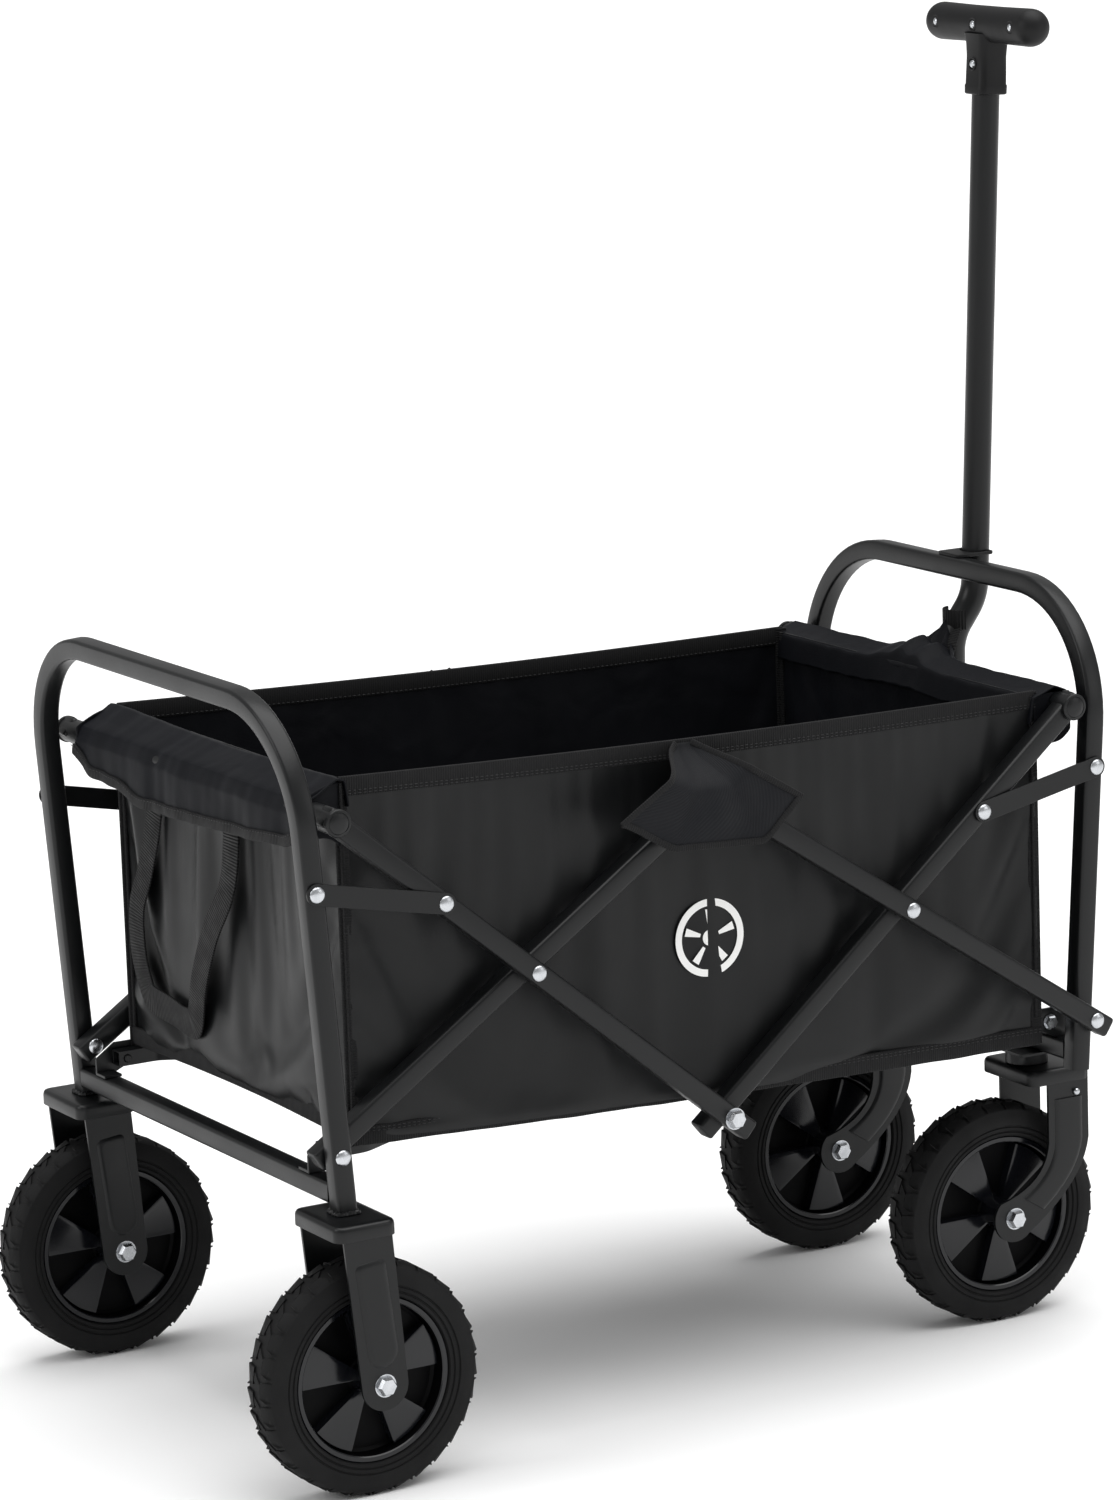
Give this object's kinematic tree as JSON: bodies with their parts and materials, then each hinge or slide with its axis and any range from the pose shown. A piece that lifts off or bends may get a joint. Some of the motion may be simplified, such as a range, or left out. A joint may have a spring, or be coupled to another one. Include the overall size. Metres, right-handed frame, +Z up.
{
  "type": "folding wagon",
  "caption": "Folding utility wagon with a scissor frame, a hanging fabric tub, two fixed and two swivel wheels, and a bent T-grip pull handle.",
  "frame": {"origin": "middle of the wagon's footprint, on the ground", "axes": "+X towards the pull handle, +Y to the wagon's left, +Z up"},
  "size_m": [0.8198, 0.51, 1.0256],
  "materials": {
    "frame": "black powder coat",
    "zinc": "zinc plated",
    "tyre": "matte foam rubber",
    "hub": "glossy moulded",
    "grip": "fine texture",
    "fabric": "coated polyester",
    "webbing": "woven tape",
    "mesh": "knitted mesh"
  },
  "bodies": {
    "rear_frame": {"rear_frame_tube": "frame", "rear_crossbar": "frame", "rear_fork_left": "frame", "rear_fork_right": "frame", "rear_floor_bracket_left": "frame", "rear_floor_bracket_right": "frame", "rear_left_axle_bolt": "zinc", "rear_right_axle_bolt": "zinc"},
    "rear_wheel_left": {"rear_left_tyre": "tyre", "rear_left_hub": "hub"},
    "rear_wheel_right": {"rear_right_tyre": "tyre", "rear_right_hub": "hub"},
    "rear_lower_braces": {"rear_lower_brace_left": "frame", "rear_lower_brace_right": "frame"},
    "front_lower_braces": {"front_lower_brace_left": "frame", "front_lower_brace_right": "frame"},
    "rear_upper_braces": {"rear_upper_brace_left": "frame", "rear_upper_brace_right": "frame", "rear_cross_tube": "frame"},
    "front_upper_braces": {"front_upper_brace_left": "frame", "front_upper_brace_right": "frame", "front_cross_tube": "frame"},
    "rear_links": {"rear_link_left": "frame", "rear_link_right": "frame"},
    "front_links": {"front_link_left": "frame", "front_link_right": "frame"},
    "rear_floor_arms": {"rear_floor_arm_left": "frame", "rear_floor_arm_right": "frame", "rear_floor_board": "fabric"},
    "front_floor_arms": {"front_floor_arm_left": "frame", "front_floor_arm_right": "frame", "front_floor_board": "fabric"},
    "floor_hub": {"floor_hub": "frame"},
    "front_frame": {"front_frame_tube": "frame", "front_crossbar": "frame", "handle_clip": "frame", "handle_bracket": "frame", "front_floor_bracket_left": "frame", "front_floor_bracket_right": "frame", "swivel_plate_left": "frame", "swivel_plate_right": "frame"},
    "caster_left": {"caster_fork_left": "frame", "front_left_axle_bolt": "zinc"},
    "caster_right": {"caster_fork_right": "frame", "front_right_axle_bolt": "zinc"},
    "front_wheel_left": {"front_left_tyre": "tyre", "front_left_hub": "hub"},
    "front_wheel_right": {"front_right_tyre": "tyre", "front_right_hub": "hub"},
    "pull_handle": {"handle_tube": "frame", "handle_grip": "grip"},
    "tub_rear": {"rear_panel": "fabric", "rear_flap": "fabric", "side_panel_left": "fabric", "side_panel_right": "fabric", "side_gusset_left": "webbing", "side_gusset_right": "webbing"},
    "tub_front": {"front_panel": "fabric", "front_flap": "fabric", "mesh_pocket": "mesh"}
  },
  "joints": [
    {"name": "fold", "type": "hinge", "parent": "rear_frame", "child": "rear_lower_braces", "pos_m": [-0.33486, 0, 0.255], "axis": [0, -1, 0], "range_deg": [0, 40.7], "deforming": ["side_panel_left", "side_panel_right", "side_gusset_left", "side_gusset_right", "rear_floor_board", "front_floor_board"]},
    {"name": "centre_top_pivot", "type": "hinge", "parent": "rear_lower_braces", "child": "front_lower_braces", "pos_m": [-0.00256, 0, 0.47651], "axis": [0, -1, 0], "range_deg": [-81.6, 0.5]},
    {"name": "front_leg_pivot", "type": "hinge", "parent": "front_lower_braces", "child": "front_frame", "pos_m": [0.32974, 0, 0.255], "axis": [0, -1, 0], "range_deg": [-0.5, 40.9]},
    {"name": "rear_crossing_pivot", "type": "hinge", "parent": "rear_lower_braces", "child": "rear_upper_braces", "pos_m": [-0.16672, 0, 0.36708], "axis": [0, -1, 0], "range_deg": [-77, 0.5]},
    {"name": "front_crossing_pivot", "type": "hinge", "parent": "front_lower_braces", "child": "front_upper_braces", "pos_m": [0.16159, 0, 0.36708], "axis": [0, -1, 0], "range_deg": [-0.5, 77]},
    {"name": "rear_link_pivot", "type": "hinge", "parent": "rear_frame", "child": "rear_links", "pos_m": [-0.34828, 0, 0.4523], "axis": [0, -1, 0], "range_deg": [-0.5, 77.5]},
    {"name": "front_link_pivot", "type": "hinge", "parent": "front_frame", "child": "front_links", "pos_m": [0.34315, 0, 0.4523], "axis": [0, -1, 0], "range_deg": [-77.5, 0.5]},
    {"name": "rear_floor_arm_pivot", "type": "hinge", "parent": "rear_frame", "child": "rear_floor_arms", "pos_m": [-0.31989, 0, 0.248], "axis": [0, -1, 0], "range_deg": [-0.5, 75.6]},
    {"name": "front_floor_arm_pivot", "type": "hinge", "parent": "front_frame", "child": "front_floor_arms", "pos_m": [0.31476, 0, 0.248], "axis": [0, -1, 0], "range_deg": [-75.6, 0.5]},
    {"name": "hub_pivot", "type": "hinge", "parent": "rear_floor_arms", "child": "floor_hub", "pos_m": [-0.01656, 0, 0.248], "axis": [0, -1, 0], "range_deg": [-75.6, 0.5]},
    {"name": "rear_rim_pivot", "type": "hinge", "parent": "rear_upper_braces", "child": "tub_rear", "pos_m": [-0.32866, 0, 0.50193], "axis": [0, -1, 0], "range_deg": [-0.5, 36.5]},
    {"name": "front_rim_pivot", "type": "hinge", "parent": "front_upper_braces", "child": "tub_front", "pos_m": [0.32354, 0, 0.50193], "axis": [0, -1, 0], "range_deg": [-36.5, 0.5]},
    {"name": "handle_pivot", "type": "hinge", "parent": "front_frame", "child": "pull_handle", "pos_m": [0.34328, 0, 0.2507], "axis": [0, 1, 0], "range_deg": [0, 100]},
    {"name": "caster_swivel_left", "type": "hinge", "parent": "front_frame", "child": "caster_left", "pos_m": [0.32778, 0.127, 0.2], "axis": [0, 0, 1], "continuous": true},
    {"name": "front_wheel_spin_left", "type": "hinge", "parent": "caster_left", "child": "front_wheel_left", "pos_m": [0.29078, 0.127, 0.088], "axis": [0, 1, 0], "continuous": true},
    {"name": "caster_swivel_right", "type": "hinge", "parent": "front_frame", "child": "caster_right", "pos_m": [0.32778, -0.127, 0.2], "axis": [0, 0, 1], "continuous": true},
    {"name": "front_wheel_spin_right", "type": "hinge", "parent": "caster_right", "child": "front_wheel_right", "pos_m": [0.29078, -0.127, 0.088], "axis": [0, 1, 0], "continuous": true},
    {"name": "rear_wheel_spin_left", "type": "hinge", "parent": "rear_frame", "child": "rear_wheel_left", "pos_m": [-0.32192, 0.2146, 0.088], "axis": [0, 1, 0], "continuous": true},
    {"name": "rear_wheel_spin_right", "type": "hinge", "parent": "rear_frame", "child": "rear_wheel_right", "pos_m": [-0.32192, -0.2146, 0.088], "axis": [0, 1, 0], "continuous": true}
  ],
  "couplings": [
    {"joint": "centre_top_pivot", "follows": "fold", "ratio": -2},
    {"joint": "front_leg_pivot", "follows": "fold", "ratio": 1},
    {"joint": "rear_crossing_pivot", "follows": "fold", "ratio": -1.8805},
    {"joint": "front_crossing_pivot", "follows": "fold", "ratio": 1.8805},
    {"joint": "rear_link_pivot", "follows": "fold", "ratio": 1.8905},
    {"joint": "front_link_pivot", "follows": "fold", "ratio": -1.8905},
    {"joint": "rear_floor_arm_pivot", "follows": "fold", "ratio": 1.8427},
    {"joint": "front_floor_arm_pivot", "follows": "fold", "ratio": -1.8427},
    {"joint": "hub_pivot", "follows": "fold", "ratio": -1.8427},
    {"joint": "rear_rim_pivot", "follows": "fold", "ratio": 0.88048},
    {"joint": "front_rim_pivot", "follows": "fold", "ratio": -0.88048}
  ]
}
